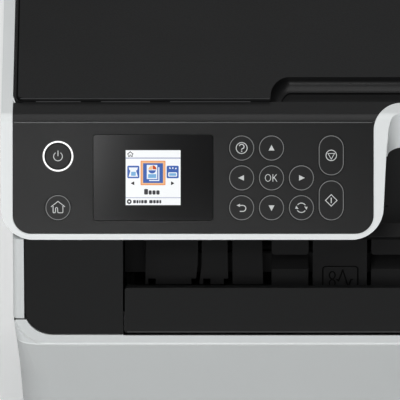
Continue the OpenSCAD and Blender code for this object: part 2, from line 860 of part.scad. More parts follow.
// Side view of the panel, its bend and the flat top
module panel_profile(back, low) {
    bend_end = [front_y + panel_run * cos(tilt), unit_z + panel_run * sin(tilt)];
    polygon([[slope_y(low), low], bend_end, [wall_y, rim_z - bend_r], [wall_y, rim_z], [back, rim_z], [back, low]]);
    translate([wall_y, rim_z - bend_r]) circle(bend_r);
}

// Front view of the panel, square to its slope
module tongue_outline(inset) {
    r = 15 - inset;
    left = -half_w + inset;
    lean = atan(tongue_lean / panel_run);
    right_foot = tongue_top_x - tongue_lean - inset;
    c = [right_foot + (r + inset) * tan(lean) - r / cos(lean), r + inset];
    top = 90;
    translate([left + r, r + inset]) circle(r);
    translate(c) circle(r);
    polygon([[left + r, inset], [c[0], inset], [c[0] + r * cos(lean), c[1] - r * sin(lean)],
        [right_foot + top * tan(lean), top], [left, top], [left, r + inset]]);
}

// The black inlay of the panel, with the sweep that carries the rim round to the front
module inlay_outline(inset) {
    r = 8.6 - inset;
    left = -half_w + side_rim + inset;
    right = sweep_x - sweep_r - inset;
    top = 75;
    round_bottom(left, right, toe_rim + inset, top, r);
    difference() {
        translate([right - eps, sweep_s]) square([sweep_x - right + 12, top - sweep_s]);
        translate([sweep_x, sweep_s]) circle(sweep_r + inset);
        translate([sweep_x, 0]) square([30, sweep_s + sweep_r + inset]);
    }
}

module case_plan(inset) {
    rounded(-half_w + inset, half_w - inset, wall_y + inset, case_back - inset, plan_r - inset);
}

module scanner_case() {
    ear = 6.2;
    color([0.85, 0.85, 0.85]) difference() {
        union() {
            difference() {
                union() {
                    // main slab and the light wall right of the panel
                    intersection() {
                        translate([0, 0, unit_z]) linear_extrude(rim_z - unit_z) case_plan(0);
                        union() {
                            box(-half_w, half_w, slab_y, case_back, slab_z, far);
                            box(-half_w, half_w, wall_y, slab_y + 1, band_z, far);
                            box(half_w - plan_r, half_w, wall_y, slab_y + 1, slab_z, far);
                        }
                    }
                    // skirt that hangs over the body, open at the front
                    difference() {
                        translate([0, 0, unit_z]) linear_extrude(band_z - unit_z) case_plan(0);
                        translate([0, 0, unit_z - 1]) linear_extrude(far) case_plan(3);
                        box(-half_w + plan_r, half_w - plan_r, -far, 0, 0, far);
                        box(-half_w, 0, -far, 0, 0, far);
                    }
                    box(-half_w, -half_w + 3, wall_y - 0.5, plan_r, unit_z, rim_z);
                    // control panel tongue
                    intersection() {
                        along_x(-half_w, 20) panel_profile(slab_y, unit_z);
                        on_panel(-60, 20) tongue_outline(0);
                    }
                    box(-half_w, -half_w + 15, wall_y - 0.5, wall_y + 15, slab_z, rim_z);
                    // cove between the panel and that wall
                    intersection() {
                        along_x(-half_w, 20) panel_profile(slab_y, unit_z);
                        translate([0, 0, band_z]) linear_extrude(40) difference() {
                            translate([tongue_top_x - 8, wall_y - cove_r]) square([cove_x - tongue_top_x + 8, cove_r + 1]);
                            translate([cove_x, wall_y - cove_r]) circle(cove_r);
                        }
                    }
                }
                // inside of the slab
                translate([0, 0, slab_z + wall]) linear_extrude(ledge_z - slab_z - wall)
                    rounded(-half_w + 3, half_w - 3, slab_y + wall, case_back - 3, plan_r - 3);
                // inside of the panel tongue
                intersection() {
                    along_x(-half_w, 20) polygon([[slope_y(unit_z + wall, 5.4), unit_z + wall],
                        [slope_y(ledge_z, 5.4), ledge_z], [slab_y + 8, ledge_z], [slab_y + 8, slab_z + wall],
                        [slab_y - wall, slab_z + wall], [slab_y - wall, unit_z + wall]]);
                    on_panel(-60, 20) tongue_outline(wall);
                }
            }
            // ears of the unit's hinge
            for (x = [-unit_hinge_x, unit_hinge_x], side = [-1, 1]) {
                x0 = x + side * (4.3 + ear / 2) - ear / 2;
                box(x0, x0 + ear, unit_axis[0] - 4.8, case_back, unit_axis[1], slab_z + 1);
                rod_x(x0, x0 + ear, unit_axis[0], unit_axis[1], 4.8);
            }
            // moulded track of the scan bar
            box(-176, 176, 0, 8, slab_z + wall - 0.5, 272);
        }
        // openings that the panel face and the top frame fill
        on_panel(-inlay - face_t, 30) intersection() {
            inlay_outline(0);
            translate([-200, 0]) square([240, panel_run + 20]);
        }
        on_panel(-8, 0) intersection() {
            inlay_outline(2);
            translate([-200, 0]) square([240, panel_run]);
        }
        on_panel(-14, 30) intersection() {
            inlay_outline(0);
            translate([-200, panel_run]) square([240, 30]);
        }
        translate([0, 0, ledge_top]) linear_extrude(60)
            rounded(-half_w + side_rim, half_w - side_rim, well_front, case_back - side_rim, 7);
        box(-half_w + side_rim + 3, half_w - side_rim - 3, well_front + 3, case_back - side_rim - 3, ledge_z - 1, far);
        // gaps around the hinge posts
        for (x = [-unit_hinge_x, unit_hinge_x]) {
            box(x - 4.3, x + 4.3, unit_axis[0] - 5, far, 0, slab_z);
            rod_x(x - 12, x + 12, unit_axis[0], unit_axis[1], 3 + running);
        }
    }
}

module scanner_top_frame() {
    x = half_w - side_rim - 0.5;
    back = case_back - side_rim - 0.5;
    rib = 1.1;
    skin = 2.2;
    ear_t = 4;
    trough = [150.5, 160.2];
    color([0.14, 0.14, 0.14]) {
        difference() {
            union() {
                // floor of the well, and the thin upstand around it
                translate([0, 0, ledge_top]) linear_extrude(floor_top - ledge_top)
                    rounded(-x, x, well_front + 0.3, back, 6.5);
                translate([0, 0, ledge_top]) linear_extrude(rim_z - inlay - ledge_top) difference() {
                    rounded(-x, x, well_front + 0.3, back, 6.5);
                    rounded(-x + rib, x - rib, well_front + 0.3 + rib, back - rib, 4.6);
                }
                // trough for the back edge of the lid
                box(-x + 3, x - 3, trough[0] - 2, trough[1] - 0.4, ledge_z, floor_top);
            }
            box(-glass_x, glass_x, glass_y[0], glass_y[1], 0, far);
            box(-x + rib + 0.5, x - rib - 0.5, trough[0], trough[1], ledge_top - 0.5, floor_top + 1);
        }
        // ears of the lid hinges
        mirrored() for (e = [lid_hinge_x - 10 - ear_t, lid_hinge_x + 10]) difference() {
            union() {
                box(e, e + ear_t, lid_axis[0] - 3.2, lid_axis[0] + 3.2, ledge_top - 1, lid_axis[1]);
                rod_x(e, e + ear_t, lid_axis[0], lid_axis[1], 3.1);
            }
            rod_x(e - 1, e + ear_t + 1, lid_axis[0], lid_axis[1], 2 + running);
        }
        // strip that carries the flat top over the bend to the panel face
        intersection() {
            along_x(-half_w + side_rim + 0.2, sweep_x + 12) {
                translate([wall_y, rim_z - bend_r]) intersection() {
                    difference() {
                        circle(bend_r - inlay);
                        circle(bend_r - inlay - skin);
                    }
                    polygon([[0, 0], [0, 15], [15 * cos(120), 15 * sin(120)], [15 * cos(150), 15 * sin(150)]]);
                }
                translate([wall_y, rim_z - inlay - skin]) square([well_front + 0.5 - wall_y, skin]);
            }
            on_panel(-40, 30) inlay_outline(0.2);
        }
    }
}

module scanner_glass() {
    color([0.7, 0.8, 0.82, 0.4]) box(-glass_x - 4, glass_x + 4, glass_y[0] - 4, glass_y[1] + 4, ledge_z, ledge_top);
}

module scan_bar() {
    x0 = -171;
    color([0.1, 0.1, 0.1]) {
        box(x0, x0 + 18, glass_y[0] - 1, glass_y[1] - 1, 275, 288);
        difference() {
            box(x0, x0 + 18, -8, 16, 266, 275.5);
            box(x0 - 1, x0 + 19, -0.4, 8.4, 260, 272.4);
        }
        box(x0 + 7, x0 + 11, glass_y[0] + 2, glass_y[1] - 4, 287.5, 288.6);
    }
}

// ---------------------------------------------------------------- control panel

module capsule(w, h) {
    translate([-w / 2, -h / 2 + w / 2]) square([w, h - w]);
    for (y = [-1, 1]) translate([0, y * (h - w) / 2]) circle(w / 2);
}

module panel_face() {
    color([0.16, 0.16, 0.17]) on_panel(-inlay - face_t, -inlay) difference() {
        intersection() {
            inlay_outline(0.15);
            translate([-200, 0]) square([240, panel_run - 0.2]);
        }
        for (k = round_keys) translate(k) circle(key_r + fit_gap);
        for (k = long_keys) translate(k) capsule(key_d + 2 * fit_gap, long_key + 2 * fit_gap);
        translate([window_x, window_s]) rounded(-window_w / 2, window_w / 2, -window_h / 2, window_h / 2, 1.6);
    }
}

module display_window() {
    w = window_w / 2 - 0.1;
    h = window_h / 2 - 0.1;
    color([0.05, 0.05, 0.06, 0.6]) on_panel(-inlay - 2, -inlay + 0.15)
        translate([window_x, window_s]) rounded(-w, w, -h, h, 1.5);
}

module display_board() {
    lcd = screen / 2 + 3;
    color([0.1, 0.3, 0.18]) {
        on_panel(-board_deep - 1.6, -board_deep) translate([-172, 10]) square([148, 40]);
        on_panel(-board_deep - eps, -inlay - 2.3) translate([window_x, window_s]) square(2 * lcd, center = true);
        for (k = concat(round_keys, long_keys))
            on_panel(-board_deep - eps, -board_deep + 0.7) translate(k) square(6, center = true);
    }
}

module round_key(k) {
    color([0.16, 0.16, 0.17]) {
        on_panel(-3.3, -inlay + 0.1) translate(k) circle(key_r);
        on_panel(-key_deep, -3.2) translate(k) circle(key_r + flange);
        on_panel(-board_deep + 1.6, -key_deep + eps) translate(k) circle(2);
    }
}

module long_round_key(k) {
    color([0.16, 0.16, 0.17]) {
        on_panel(-3.3, -inlay + 0.1) translate(k) capsule(key_d, long_key);
        on_panel(-key_deep, -3.2) translate(k) capsule(key_d + 2 * flange, long_key + 2 * flange);
        on_panel(-board_deep + 1.6, -key_deep + eps) translate(k) circle(2);
    }
}

module power_button() { round_key([left_key_x, power_s]); }
module home_button() { round_key([left_key_x, home_s]); }
module help_button() { round_key([column_x[0], row_s[2]]); }
module up_button() { round_key([column_x[1], row_s[2]]); }
module left_button() { round_key([column_x[0], row_s[1]]); }
module ok_button() { round_key([column_x[1], row_s[1]]); }
module right_button() { round_key([column_x[2], row_s[1]]); }
module back_button() { round_key([column_x[0], row_s[0]]); }
module down_button() { round_key([column_x[1], row_s[0]]); }
module turn_button() { round_key([column_x[2], row_s[0]]); }
module stop_button() { long_round_key([long_x, stop_s]); }
module start_button() { long_round_key([long_x, start_s]); }

// ---------------------------------------------------------------- lid

// Plan of the finger notch: its ends are quarter ellipses
module notch_plan(grow) {
    half = notch_w / 2 + grow;
    end = 9.2;
    deep = notch_depth - 1;
    back = lid_front + notch_depth + grow;
    arc = [for (a = [0 : 7.5 : 90]) [half - end + end * cos(a), back - deep + deep * sin(a)]];
    polygon(concat([[half, lid_front - 5]], arc, [for (k = [len(arc) - 1 : -1 : 0]) [-arc[k][0], arc[k][1]]],
        [[-half, lid_front - 5]]));
}

module lid_plan(inset) {
    difference() {
        rounded(-lid_x + inset, lid_x - inset, lid_front + inset, lid_back - inset, 3);
        notch_plan(inset);
    }
}

module lid_shell() {
    lug = 9.6;
    notch_back = lid_front + notch_depth;
    color([0.16, 0.16, 0.16]) {
        difference() {
            translate([0, 0, lid_low]) linear_extrude(height - lid_low) lid_plan(0);
            translate([0, 0, lid_low - 1]) linear_extrude(height - lid_skin - lid_low + 1) intersection() {
                lid_plan(lid_skin);
                translate([-300, -200]) square([600, 200 + 146]);
            }
            // clearance for the hinge ears
            mirrored() box(lid_hinge_x - 14.6, lid_hinge_x + 14.6, lid_axis[0] - 4.6, far, 0, far);
        }
        // hinge lugs with their pins
        mirrored() {
            rod_x(lid_hinge_x - lug, lid_hinge_x + lug, lid_axis[0], lid_axis[1], 3);
            box(lid_hinge_x - lug, lid_hinge_x + lug, lid_axis[0] - 6, lid_axis[0], lid_axis[1] - 3, height);
            rod_x(lid_hinge_x - 14, lid_hinge_x + 14, lid_axis[0], lid_axis[1], 2);
        }
        // cove at the foot of the notch
        along_x(-notch_w / 2 + 9, notch_w / 2 - 9) difference() {
            translate([notch_back - 3.4, lid_low]) square([4.4, 4]);
            translate([notch_back - 3.6, lid_low + 4]) circle(3.6);
        }
    }
}

module lid_pad() {
    color([0.93, 0.93, 0.92]) box(-glass_x + 3, glass_x - 3, glass_y[0] + 3, glass_y[1] - 3,
        ledge_top + 0.4, height - lid_skin);
}

// ---------------------------------------------------------------- output tray

module output_tray() {
    front = bezel_y + 4.6;
    x = [bay_left + 3.2, bay_right - 3.2];
    color([0.13, 0.13, 0.13]) {
        difference() {
            box(x[0], x[1], front, -40, front_z, 200.6);
            for (k = [0 : 5]) box(-95 + 32 * k, -89 + 32 * k, front + 20, -60, 199.6, far);
        }
        for (s = [x[0], x[1] - 2]) box(s, s + 2, front, -60, 200, 202.6);
        // ears and pins that carry the flap
        for (e = hinge_ears) {
            box(e, e + ear_w, flap_axis[0], front + 1, flap_axis[1] - 0.9, flap_axis[1] + 0.4);
            rod_x(e, e + ear_w, flap_axis[0], flap_axis[1], 0.9);
            rod_x(e - 3, e + ear_w + 3, flap_axis[0], flap_axis[1], 0.8);
        }
    }
}

module output_flap() {
    x = [bay_left + 0.7, bay_right - 0.7];
    y = flap_axis[0];
    z = flap_axis[1];
    color([0.13, 0.13, 0.13]) difference() {
        union() {
            along_y(y - flap_r, y + 0.6) round_top(x[0], x[1], z, flap_top, 1.2);
            rod_x(x[0], x[1], y, z, flap_r);
            // square lower edge of the front
            box(x[0], x[1], y - flap_r, y - 0.9, z - 1.6, z + 1);
        }
        for (e = hinge_ears) {
            rod_x(e - 3.4, e + ear_w + 3.4, y, z, 0.8 + running);
            rod_x(e - 0.4, e + ear_w + 0.4, y, z, 1.2);
            box(e - 0.4, e + ear_w + 0.4, y, y + 5, z - 5, z + 3);
            box(e - 0.4, e + ear_w + 0.4, y - 1.3, y + 5, z - 5, z + 0.8);
        }
    }
}

// ---------------------------------------------------------------- assembly

base_shell();
upper_body_shell();
front_left_cover();
front_right_cover();
ink_window();
front_fascia();
output_guide();
jam_panel();
print_frame();
carriage_rail();
carriage_motor();
feed_motor();
drive_belt();
ink_tank();
main_board();
power_supply();
ac_inlet();
scanner_hinges();
rubber_feet();
case_screws();
tank_cap();
tank_cover();
carriage();
print_head();
motor_pulley();
idler_pulley();
feed_roller();
feed_gear();
motor_pinion();
eject_roller();
pickup_roller();
rear_cover();
cassette_tray();
cassette_front();
edge_guide_left();
edge_guide_right();
length_guide();
scanner_case();
scanner_top_frame();
scanner_glass();
scan_bar();
panel_face();
display_window();
display_board();
lid_shell();
lid_pad();
output_tray();
output_flap();
power_button();
home_button();
help_button();
up_button();
left_button();
ok_button();
right_button();
back_button();
down_button();
turn_button();
stop_button();
start_button();
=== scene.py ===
import json
import math

import bpy
import bmesh
from mathutils import Matrix, Vector


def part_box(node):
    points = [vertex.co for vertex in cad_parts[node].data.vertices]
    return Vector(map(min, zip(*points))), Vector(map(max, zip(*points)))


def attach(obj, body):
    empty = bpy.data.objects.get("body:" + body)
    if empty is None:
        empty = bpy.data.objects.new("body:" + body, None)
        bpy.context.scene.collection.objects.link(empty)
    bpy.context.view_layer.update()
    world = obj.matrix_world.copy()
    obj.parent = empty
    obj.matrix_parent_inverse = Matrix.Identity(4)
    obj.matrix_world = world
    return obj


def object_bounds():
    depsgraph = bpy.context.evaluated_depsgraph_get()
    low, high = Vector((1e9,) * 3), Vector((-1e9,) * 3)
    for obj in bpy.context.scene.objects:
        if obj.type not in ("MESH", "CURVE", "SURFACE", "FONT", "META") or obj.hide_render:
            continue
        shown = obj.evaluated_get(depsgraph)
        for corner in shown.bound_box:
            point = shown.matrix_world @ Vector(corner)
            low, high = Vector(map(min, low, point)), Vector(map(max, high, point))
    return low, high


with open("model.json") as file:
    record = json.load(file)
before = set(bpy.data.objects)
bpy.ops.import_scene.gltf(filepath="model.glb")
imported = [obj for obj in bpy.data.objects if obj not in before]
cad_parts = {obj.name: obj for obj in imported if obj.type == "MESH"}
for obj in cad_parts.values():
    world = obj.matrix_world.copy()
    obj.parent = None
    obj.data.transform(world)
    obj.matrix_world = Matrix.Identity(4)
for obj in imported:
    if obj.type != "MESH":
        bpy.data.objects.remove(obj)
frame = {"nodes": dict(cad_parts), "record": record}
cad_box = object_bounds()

MM = 0.001
NODES = frame["nodes"]
SCENE = bpy.context.scene


# ------------------------------------------------------------------ node helpers

class Nodes:
    """A material's node tree, with short calls for the nodes used here."""

    def __init__(self, name):
        self.material = bpy.data.materials.new(name)
        self.material.use_nodes = True
        self.tree = self.material.node_tree
        self.tree.nodes.clear()
        self.out = self.tree.nodes.new("ShaderNodeOutputMaterial")
        self.coords = self.tree.nodes.new("ShaderNodeTexCoord").outputs["Object"]

    def link(self, a, b):
        self.tree.links.new(a, b)

    def noise(self, scale, detail=2.0, rough=0.5, distortion=0.0, stretch=None):
        n = self.tree.nodes.new("ShaderNodeTexNoise")
        n.inputs["Scale"].default_value = scale
        n.inputs["Detail"].default_value = detail
        n.inputs["Roughness"].default_value = rough
        n.inputs["Distortion"].default_value = distortion
        self.link(self.place(stretch), n.inputs["Vector"])
        return n.outputs["Fac"]

    def voronoi(self, scale, feature="F1", randomness=1.0, stretch=None):
        n = self.tree.nodes.new("ShaderNodeTexVoronoi")
        n.feature = feature
        n.inputs["Scale"].default_value = scale
        n.inputs["Randomness"].default_value = randomness
        self.link(self.place(stretch), n.inputs["Vector"])
        return n.outputs["Distance"]

    def place(self, stretch):
        if stretch is None:
            return self.coords
        n = self.tree.nodes.new("ShaderNodeMapping")
        n.inputs["Scale"].default_value = stretch
        self.link(self.coords, n.inputs["Vector"])
        return n.outputs["Vector"]

    def ramp(self, value, stops):
        n = self.tree.nodes.new("ShaderNodeValToRGB")
        n.color_ramp.elements[0].position = stops[0][0]
        n.color_ramp.elements[0].color = rgba(stops[0][1])
        n.color_ramp.elements[1].position = stops[-1][0]
        n.color_ramp.elements[1].color = rgba(stops[-1][1])
        for position, colour in stops[1:-1]:
            n.color_ramp.elements.new(position).color = rgba(colour)
        self.link(value, n.inputs["Fac"])
        return n.outputs["Color"]

    def span(self, value, low, high, start=0.0, end=1.0):
        n = self.tree.nodes.new("ShaderNodeMapRange")
        n.inputs["From Min"].default_value = start
        n.inputs["From Max"].default_value = end
        n.inputs["To Min"].default_value = low
        n.inputs["To Max"].default_value = high
        self.link(value, n.inputs["Value"])
        return n.outputs["Result"]

    def maths(self, kind, a, b):
        n = self.tree.nodes.new("ShaderNodeMath")
        n.operation = kind
        for socket, value in zip(n.inputs, (a, b)):
            if isinstance(value, (int, float)):
                socket.default_value = value
            else:
                self.link(value, socket)
        return n.outputs[0]

    def bump(self, height, depth, strength=1.0):
        n = self.tree.nodes.new("ShaderNodeBump")
        n.inputs["Strength"].default_value = strength
        n.inputs["Distance"].default_value = depth
        self.link(height, n.inputs["Height"])
        return n.outputs["Normal"]

    def surface(self, colour, roughness, normal=None, **constants):
        n = self.tree.nodes.new("ShaderNodeBsdfPrincipled")
        for socket, value in (("Base Color", colour), ("Roughness", roughness), ("Normal", normal)):
            if value is None:
                continue
            if isinstance(value, (tuple, list)):
                n.inputs[socket].default_value = rgba(value)
            elif isinstance(value, (int, float)):
                n.inputs[socket].default_value = value
            else:
                self.link(value, n.inputs[socket])
        for name, value in constants.items():
            if isinstance(value, (tuple, list)):
                value = rgba(value)
            n.inputs[name.replace("_", " ")].default_value = value
        self.link(n.outputs[0], self.out.inputs["Surface"])
        return self.material


def rgba(colour):
    return (*colour, 1.0) if len(colour) == 3 else tuple(colour)


def shade(colour, factor):
    return tuple(min(1.0, c * factor) for c in colour)


def plastic(name, colour, roughness, grain, depth, mottling=0.05, **constants):
    """Moulded plastic: a fine sparked texture, slightly uneven gloss and colour."""
    m = Nodes(name)
    fine = m.noise(grain, detail=3.0, rough=0.6)
    broad = m.noise(22.0, detail=3.0)
    tint = m.ramp(broad, [(0.3, shade(colour, 1 - mottling)), (0.7, shade(colour, 1 + mottling))])
    gloss = m.span(m.maths("ADD", m.maths("MULTIPLY", fine, 0.6), m.maths("MULTIPLY", broad, 0.4)),
                   roughness - 0.06, roughness + 0.06, 0.3, 0.7)
    return m.surface(tint, gloss, m.bump(fine, depth), **constants)


def smoked(name, colour, roughness, **constants):
    """Polished dark pane: only the gloss varies, very slightly."""
    m = Nodes(name)
    broad = m.noise(30.0, detail=1.0)
    fine = m.noise(900.0, detail=2.0)
    tint = m.ramp(broad, [(0.2, shade(colour, 0.95)), (0.8, shade(colour, 1.05))])
    gloss = m.span(broad, roughness - 0.008, roughness + 0.008)
    return m.surface(tint, gloss, m.bump(fine, 0.0000002), **constants)


def grained(name, colour, roughness, cell, depth, **constants):
    """Black plastic with a pebbled, leather-like grain."""
    m = Nodes(name)
    pebbles = m.voronoi(1.0 / cell, feature="SMOOTH_F1")
    fine = m.noise(3.0 / cell, detail=2.0)
    broad = m.noise(18.0, detail=2.0)
    height = m.maths("ADD", m.span(pebbles, 1.0, 0.0, 0.0, 0.8), m.maths("MULTIPLY", fine, 0.35))
    tint = m.ramp(broad, [(0.3, shade(colour, 0.93)), (0.7, shade(colour, 1.07))])
    gloss = m.span(pebbles, roughness - 0.05, roughness + 0.08, 0.0, 0.8)
    return m.surface(tint, gloss, m.bump(height, depth), **constants)


def metal(name, colour, roughness, stretch):
    """Plated sheet or ground shaft, with drawn lines along one axis."""
    m = Nodes(name)
    lines = m.noise(900.0, detail=3.0, rough=0.6, stretch=stretch)
    broad = m.noise(30.0, detail=2.0)
    tint = m.ramp(broad, [(0.3, shade(colour, 0.9)), (0.7, shade(colour, 1.06))])
    return m.surface(tint, m.span(lines, roughness - 0.08, roughness + 0.1, 0.3, 0.7),
                     m.bump(lines, 0.00001), Metallic=1.0)


def glowing(name, colour, strength, roughness=0.3):
    """Printed or lit area: a lit colour under a clear face, slightly uneven as a backlight is."""
    m = Nodes(name)
    broad = m.noise(60.0, detail=1.0)
    tint = m.ramp(broad, [(0.2, shade(colour, 0.98)), (0.8, colour)])
    n = m.tree.nodes.new("ShaderNodeBsdfPrincipled")
    n.inputs["Base Color"].default_value = rgba((0.01, 0.01, 0.01))
    m.link(tint, n.inputs["Emission Color"])
    n.inputs["Emission Strength"].default_value = strength
    n.inputs["Roughness"].default_value = roughness
    m.link(n.outputs[0], m.out.inputs["Surface"])
    return m.material


def clear(name, colour, roughness, alpha_like=0.0):
    """Clear moulded plastic or float glass."""
    m = Nodes(name)
    broad = m.noise(40.0, detail=1.0)
    gloss = m.span(broad, roughness, roughness + 0.03)
    return m.surface(colour, gloss, None, Transmission_Weight=1.0 - alpha_like, IOR=1.5)


def framed(name, colour, low, dark, edge, top, front):
    """Light casing: its own white in the frame around its front, with a painted highlight along the frame's
    lower edge, painted shade (low) below that edge and away from the front, and painted shade (dark) on its
    top ledge in the seam.
    """
    m = Nodes(name)
    fine = m.noise(2200.0, detail=3.0, rough=0.6)
    broad = m.noise(22.0, detail=3.0)
    apart = m.tree.nodes.new("ShaderNodeSeparateXYZ")
    m.link(m.coords, apart.inputs["Vector"])
    above = m.span(apart.outputs["Z"], 0.0, 1.0, edge + 0.05 * MM, edge + 0.5 * MM)
    ahead = m.span(apart.outputs["Y"], 1.0, 0.0, front + 3 * MM, front + 7 * MM)
    # painted highlight: a brighter band just above the frame's lower edge, where its chamfer catches the light
    arris_highlight = m.span(apart.outputs["Z"], 0.74, 0.52, edge + 0.9 * MM, edge + 1.4 * MM)
    # painted shade: the top ledge, seen in the seam under the upper shell, turns dark
    ledge = m.span(apart.outputs["Z"], 1.0, 0.0, top - 0.1 * MM, top - 0.02 * MM)
    # share gives the casing's own white only on the front frame; elsewhere it falls to the low white, which is
    # painted shade
    share = m.maths("ADD", m.maths("MULTIPLY", m.maths("MULTIPLY", above, ahead), arris_highlight), 0.2)
    # ramp from the painted seam shade, through the painted-shade low white and the frame's own white, to a
    # painted highlight
    tint = m.ramp(m.maths("ADD", m.maths("MULTIPLY", share, ledge), m.maths("MULTIPLY", broad, 0.06)),
                  [(0.02, dark), (0.2, low), (0.75, colour), (0.98, shade(colour, 1.2))])
    gloss = m.span(m.maths("ADD", m.maths("MULTIPLY", fine, 0.6), m.maths("MULTIPLY", broad, 0.4)),
                   0.38, 0.5, 0.3, 0.7)
    return m.surface(tint, gloss, m.bump(fine, 0.00001))


WHITE = (0.80, 0.82, 0.82)
ARRIS_Z = 192 * MM
BLACK = (0.010, 0.0103, 0.0106)
KEY_BLACK = (0.012, 0.0123, 0.0126)

MATERIALS = {
    "light_casing": plastic("light_casing", WHITE, 0.42, 2200.0, 0.00001, 0.012),
    "light_base": plastic("light_base", shade(WHITE, 0.97), 0.45, 2200.0, 0.00001, 0.012),
    "black_casing": plastic("black_casing", BLACK, 0.42, 1800.0, 0.00002, Specular_IOR_Level=0.38),
    "black_frame": plastic("black_frame", (0.015, 0.0153, 0.0157), 0.4, 1800.0, 0.00002),
    "black_lid": grained("black_lid", (0.018, 0.0185, 0.019), 0.46, 0.0007, 0.00003),
    "panel_black": plastic("panel_black", KEY_BLACK, 0.34, 2500.0, 0.00001, Specular_IOR_Level=0.3),
    "key_black": plastic("key_black", KEY_BLACK, 0.34, 2500.0, 0.000006, Specular_IOR_Level=0.3),
    "window_black": smoked("window_black", (0.004, 0.004, 0.0045), 0.15, Specular_IOR_Level=0.4),
    # inner_black is several times lighter than the other blacks: painted light, standing in for light that
    # reaches into the bay
    "inner_black": plastic("inner_black", (0.065, 0.065, 0.066), 0.5, 1500.0, 0.00002),
    "clear_glass": clear("clear_glass", (0.90, 0.96, 0.95), 0.01),
    "clear_pane": clear("clear_pane", (0.9, 0.93, 0.94), 0.05),
    "tank_plastic": plastic("tank_plastic", (0.72, 0.75, 0.76), 0.35, 300.0, 0.00001,
                            Transmission_Weight=0.55, IOR=1.45),
    "white_pad": plastic("white_pad", (0.84, 0.84, 0.83), 0.6, 900.0, 0.00003, 0.015),
    "board_green": plastic("board_green", (0.03, 0.14, 0.06), 0.35, 700.0, 0.00002, 0.12),
    "steel": metal("steel", (0.62, 0.63, 0.65), 0.34, (1.0, 0.08, 1.0)),
    "dark_steel": metal("dark_steel", (0.35, 0.36, 0.38), 0.3, (0.08, 1.0, 1.0)),
    "brass_gear": plastic("brass_gear", (0.62, 0.43, 0.14), 0.3, 900.0, 0.00001),
    "white_gear": plastic("white_gear", (0.78, 0.76, 0.69), 0.32, 900.0, 0.00001),
    "rubber_black": plastic("rubber_black", (0.02, 0.02, 0.02), 0.78, 1200.0, 0.00005),
    "grey_plastic": plastic("grey_plastic", (0.085, 0.087, 0.09), 0.5, 1500.0, 0.00002),
}
# painted shade: a darker copy of the white for the base below its frame and for the drawer front, where less
# light falls
SHADED_WHITE = shade(WHITE, 0.77)
# painted shade for the seam between the base and the upper shell
SEAM_SHADE = shade(WHITE, 0.22)
base_low, base_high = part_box("base_shell")
# the casings are brighter and darker copies of one white, matched to how the light falls on each: painted
# light and painted shade
CASINGS = {
    "scanner_case": plastic("scanner_white", shade(WHITE, 1.06), 0.42, 2200.0, 0.00001, 0.012),
    "upper_body_shell": plastic("body_white", shade(WHITE, 0.93), 0.42, 2200.0, 0.00001, 0.012),
    "base_shell": framed("base_white", shade(WHITE, 0.95), SHADED_WHITE, SEAM_SHADE,
                         ARRIS_Z, base_high.z, base_low.y),
    # the drawer front takes the painted-shade white, to match the base's lower face
    "cassette_front": plastic("drawer_white", SHADED_WHITE, 0.45, 2200.0, 0.00001, 0.012),
}
LEGEND = plastic("legend_grey", (0.66, 0.67, 0.67), 0.45, 2500.0, 0.000002)
KEY_RING = plastic("ring_grey", (0.27, 0.275, 0.275), 0.45, 2500.0, 0.000002)
LIT_RING = glowing("lit_ring", (1.0, 1.0, 1.0), 1.1)


# ------------------------------------------------------------------ CAD nodes: materials and rounded edges

BEVELS = {
    "scanner_case": 0.7, "upper_body_shell": 0.5, "base_shell": 0.18, "front_left_cover": 0.5,
    "front_right_cover": 0.5, "lid_shell": 0.45, "panel_face": 0.15, "display_window": 0.12,
    "front_fascia": 0.4, "output_flap": 0.35, "jam_panel": 0.2, "output_guide": 0.3,
    "scanner_top_frame": 0.3, "cassette_front": 0.5, "tank_cover": 0.4, "tank_cap": 0.4,
    "output_tray": 0.3, "rear_cover": 0.5, "ac_inlet": 0.4, "cassette_tray": 0.4,
}


def finish_node(name, node):
    slot = next(s["material_slot"] for s in frame["record"]["subparts"] if s["node"] == name)
    node.data.materials.clear()
    node.data.materials.append(CASINGS.get(name, MATERIALS[slot]))
    weld = node.modifiers.new("weld", "WELD")
    weld.merge_threshold = 0.000002
    if name in BEVELS or name.endswith("_button"):
        flat = node.modifiers.new("flat", "DECIMATE")
        flat.decimate_type = "DISSOLVE"
        flat.angle_limit = math.radians(0.5)
        bevel = node.modifiers.new("bevel", "BEVEL")
        bevel.width = BEVELS.get(name, 0.15) * MM
        bevel.segments = 3
        bevel.limit_method = "ANGLE"
        bevel.angle_limit = math.radians(35)
        bevel.use_clamp_overlap = True
    weighted = node.modifiers.new("normals", "WEIGHTED_NORMAL")
    weighted.weight = 90


for name, node in NODES.items():
    finish_node(name, node)


# ------------------------------------------------------------------ the sloping panel

TILT = math.radians(60)
UP = Vector((0, math.cos(TILT), math.sin(TILT)))
OUT = Vector((0, -math.sin(TILT), math.cos(TILT)))
ALONG = Vector((1, 0, 0))
WINDOW_T = 2.15 * MM


def middle(node):
    low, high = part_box(node)
    return (low + high) / 2


WINDOW = middle("display_window") + OUT * WINDOW_T / 2  # centre of the window's face


def key_centre(node, half_tall):
    """Centre of a key's face on the slope: its lower edge is its front, its upper edge its top."""
    low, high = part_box(node)
    return Vector(((low.x + high.x) / 2, low.y + half_tall * MM * UP.y, high.z - half_tall * MM * UP.z))


def on_slope(origin):
    """Local x, y, z to the slope at a point: along it, up it, out of it."""
    m = Matrix((ALONG, UP, OUT)).transposed().to_4x4()
    m.translation = origin
    return m


# ------------------------------------------------------------------ flat shapes, in mm

def ring(r, cx=0.0, cy=0.0, steps=64, start=0.0, sweep=360.0, ry=None):
    ry = r if ry is None else ry
    count = steps if sweep == 360.0 else steps + 1
    return [(cx + r * math.cos(math.radians(start + sweep * k / steps)),
             cy + ry * math.sin(math.radians(start + sweep * k / steps))) for k in range(count)]


